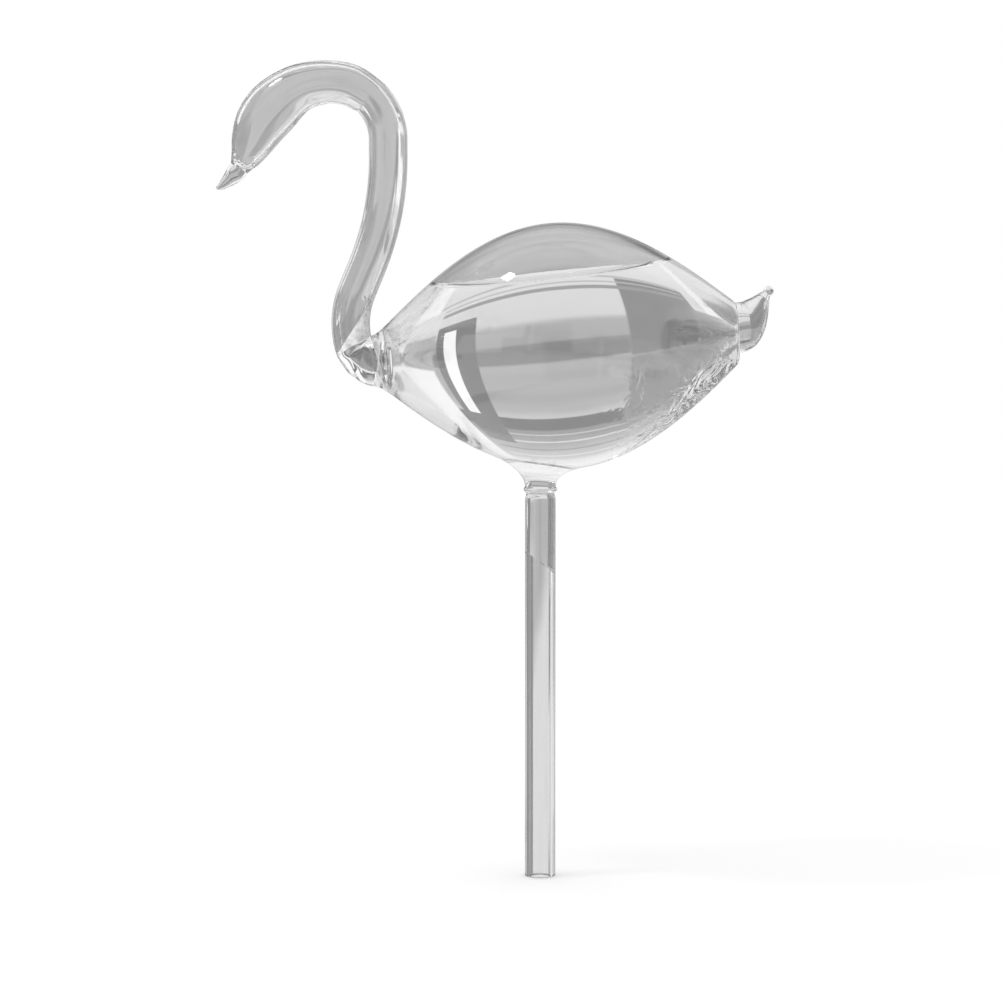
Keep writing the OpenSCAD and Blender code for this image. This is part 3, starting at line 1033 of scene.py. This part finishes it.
# What shows in the glass: soft light panels all round. Directions and heights are in degrees
studio = {
    "every": 90,  # the same panels stand round the studio at this many degrees
    "tilt": 6,
    "white": 1.05,
    "fill": 0.94,
    # soft bands of light by height, each from where it starts
    "bands": [
        (-90, 0.92), (-75, 0.92), (-62, 0.76), (-45, 0.76), (-32, 0.86), (-22, 0.84),
        (-17, 0.78), (-9.5, 0.73), (-6, 0.71), (-4.1, 0.43), (-0.8, 0.41), (-0.2, 0.28),
        (1, 0.26), (3.4, 0.27), (4.2, 0.48), (5.2, 0.48), (6.5, 0.45), (9.5, 0.46),
        (12, 0.42), (15, 0.48), (17.8, 0.6), (18.4, 0.17), (22, 0.16), (23.2, 0.32),
        (40, 0.62), (47, 0.95), (53, 1.05),
    ],
    # panels: direction from and to, height from and to, shade and soft edge
    "panels": [
        (-31, -12, -15.5, 4.4, 0.21, 0.6),
        (-31, -12, 4.4, 24, 0.3, 1.5),
        (17.5, 27.5, -9, 30, 0.42, 0.4),
        (22.2, 25.4, -7, 18, 0.75, 0.3),
        (-30, 30, -13.1, -12.1, 0.3, 0.3),
        (-30, 30, -14.4, -14.0, 0.48, 0.3),
        (-30, 30, -16.3, -15.6, 0.5, 0.4),
        (-26, 26, 24.4, 25.0, 0.6, 0.3),
        (-26, 26, 28.0, 28.8, 0.75, 0.3),
        (-26, 26, 33.0, 34.0, 0.34, 0.4),
        (-26, 26, 38.5, 39.5, 0.85, 0.4),
    ],
    # the same further round, only before and behind the piece
    "wings": [
        (-64, -28.5, -12, 14, 0.28, 1),
        (28.5, 64, -12, -4.2, 0.8, 1),
        (28.5, 43, -4.2, 8, 0.48, 1.6),
        (43, 66, -4.2, 12, 1.1, 1.6),
    ],
    # stronger ones, only behind the piece
    "behind": [
        (17.5, 27.5, -9, 30, 0.2, 0.4),
        (22.2, 25.4, -7, 18, 1.1, 0.3),
    ],
    # and one before it, to one side
    "before": (112, 172, -8, 38, 0.88, 6),
    # between these directions stand the panels, and white on either side of them
    "left": 29,
    "right": 36,
    "edgeSoft": 1.2,
    # past this to either side all is plain above and below these heights
    "plainFrom": 60,
    "plainSoft": 15,
    "plain": 0.82,
    "plainLow": -9,
    "plainHigh": 19,
    "plainEdge": 3,
}


def addBetween(tree, value, low, high, soft):
    up = addStep(tree, value, low - soft / 2, low + soft / 2)
    down = addStep(tree, value, high - soft / 2, high + soft / 2)
    return addNumber(tree, "SUBTRACT", up, down)


def addMix(tree, share, below, above):
    # below and above are numbers or sockets
    change = addNumber(tree, "SUBTRACT", above, below)
    return addNumber(tree, "MULTIPLY_ADD", change, share, below)


def addPanel(tree, shade, panel, across, up, strength=None):
    left, right, low, high, tone, soft = panel
    wide = addBetween(tree, across, left, right, soft)
    inside = addNumber(tree, "MULTIPLY", wide, addBetween(tree, up, low, high, soft))
    if strength is not None:
        inside = addNumber(tree, "MULTIPLY", inside, strength)
    return addMix(tree, inside, shade, tone)


def makeStudio(tree):
    place = tree.nodes.new("ShaderNodeTexCoord")
    axes = tree.nodes.new("ShaderNodeSeparateXYZ")
    tree.links.new(place.outputs["Generated"], axes.inputs["Vector"])
    half = studio["every"] / 2
    whole = addNumber(tree, "DEGREES", addNumber(tree, "ARCTAN2", axes.outputs["X"], axes.outputs["Y"]))
    around = addNumber(tree, "WRAP", whole, -half, half)
    height = addNumber(tree, "DEGREES", addNumber(tree, "ARCSINE", axes.outputs["Z"]))

    # the panels slant by the tilt, which fades out where one set of them meets the next
    turn = radians(studio["tilt"])
    outward = addStep(tree, addNumber(tree, "ABSOLUTE", around), studio["right"], half)
    slant = addNumber(tree, "MULTIPLY", around, sin(turn))
    lift = addNumber(tree, "MULTIPLY", slant, addNumber(tree, "SUBTRACT", 1, outward))
    up = addNumber(tree, "SUBTRACT", addNumber(tree, "MULTIPLY", height, cos(turn)), lift)
    level = addNumber(tree, "MULTIPLY", around, cos(turn))
    across = addNumber(tree, "ADD", level, addNumber(tree, "MULTIPLY", height, sin(turn)))

    shade = studio["bands"][0][1]
    for (low, before), (high, after) in zip(studio["bands"], studio["bands"][1:]):
        if before != after:
            shade = addNumber(tree, "MULTIPLY_ADD", addStep(tree, up, low, high), after - before, shade)
    for panel in studio["panels"]:
        shade = addPanel(tree, shade, panel, across, up)
    plainFrom = studio["plainFrom"]
    aside = addStep(tree, addNumber(tree, "ABSOLUTE", whole), plainFrom, plainFrom + studio["plainSoft"])
    ahead = addNumber(tree, "SUBTRACT", 1, aside)
    for panel in studio["behind"]:
        shade = addPanel(tree, shade, panel, across, up, ahead)

    pastLeft = addStep(tree, across, -studio["right"] - studio["edgeSoft"], -studio["right"])
    pastRight = addStep(tree, across, studio["left"], studio["left"] + studio["edgeSoft"])
    inside = addNumber(tree, "MULTIPLY", pastLeft, addNumber(tree, "SUBTRACT", 1, pastRight))
    shade = addMix(tree, inside, studio["white"], shade)

    middle = addBetween(tree, height, studio["plainLow"], studio["plainHigh"], studio["plainEdge"])
    apart = addNumber(tree, "SUBTRACT", 1, middle)
    shade = addMix(tree, addNumber(tree, "MULTIPLY", aside, apart), shade, studio["plain"])
    beforeOrBehind = addNumber(tree, "WRAP", whole, -90, 90)
    for panel in studio["wings"]:
        shade = addPanel(tree, shade, panel, beforeOrBehind, height)
    return addPanel(tree, shade, studio["before"], whole, height)


def makeWorld():
    world = bpy.data.worlds.new("studio")
    bpy.context.scene.world = world
    world.use_nodes = True
    tree = world.node_tree
    output = tree.nodes["World Output"]
    seen = tree.nodes["Background"]
    seen.inputs["Strength"].default_value = 1
    tree.links.new(makeStudio(tree), seen.inputs["Color"])
    white = tree.nodes.new("ShaderNodeBackground")
    white.inputs["Color"].default_value = (1, 1, 1, 1)
    plain = tree.nodes.new("ShaderNodeBackground")
    plain.inputs["Color"].default_value = (studio["fill"],) * 3 + (1,)
    rays = tree.nodes.new("ShaderNodeLightPath")
    inGlass = addNumber(tree, "MAXIMUM", rays.outputs["Is Glossy Ray"], rays.outputs["Is Transmission Ray"])
    first = tree.nodes.new("ShaderNodeMixShader")
    second = tree.nodes.new("ShaderNodeMixShader")
    tree.links.new(inGlass, first.inputs["Fac"])
    tree.links.new(plain.outputs["Background"], first.inputs[1])
    tree.links.new(seen.outputs["Background"], first.inputs[2])
    tree.links.new(rays.outputs["Is Camera Ray"], second.inputs["Fac"])
    tree.links.new(first.outputs["Shader"], second.inputs[1])
    tree.links.new(white.outputs["Background"], second.inputs[2])
    tree.links.new(second.outputs["Shader"], output.inputs["Surface"])


lamp = {"place": (-0.34, -0.1, 0.72), "size": 0.07, "power": 0.4}


def addLamp():
    light = bpy.data.lights.new("soft lamp", "AREA")
    light.size = lamp["size"]
    light.energy = lamp["power"]
    holder = addObject("soft lamp", light)
    holder.location = lamp["place"]
    aim = Vector((globeMiddle.x, 0, globeMiddle.z)) * mm - holder.location
    holder.rotation_euler = aim.to_track_quat("-Z", "Y").to_euler()


addFloor()
makeWorld()
addLamp()
print("floor, studio and lamp made")


# Camera, in millimetres and degrees

view = {
    "height": 98.85, "across": -10.3, "distance": 700, "down": 2.5,
    "span": 262.5,  # the width that the picture takes in at the piece
    "sensor": 36, "farthest": 20,
}


def placeCamera():
    lens = bpy.data.cameras.new("camera")
    camera = addObject("camera", lens)
    down = radians(view["down"])
    away = view["distance"]
    camera.location = Vector((view["across"], -away * cos(down), view["height"] + away * sin(down))) * mm
    camera.rotation_euler = (pi / 2 - down, 0, 0)
    lens.sensor_width = view["sensor"]
    lens.lens = view["sensor"] * away / view["span"]
    lens.clip_end = view["farthest"]
    bpy.context.scene.camera = camera


placeCamera()
bpy.context.scene.view_settings.view_transform = "Standard"

# light passes through many layers of glass and water before it leaves the piece
cycles = bpy.context.scene.cycles
cycles.max_bounces = 32
cycles.transmission_bounces = 32
cycles.glossy_bounces = 16
cycles.transparent_max_bounces = 48
print("camera placed")
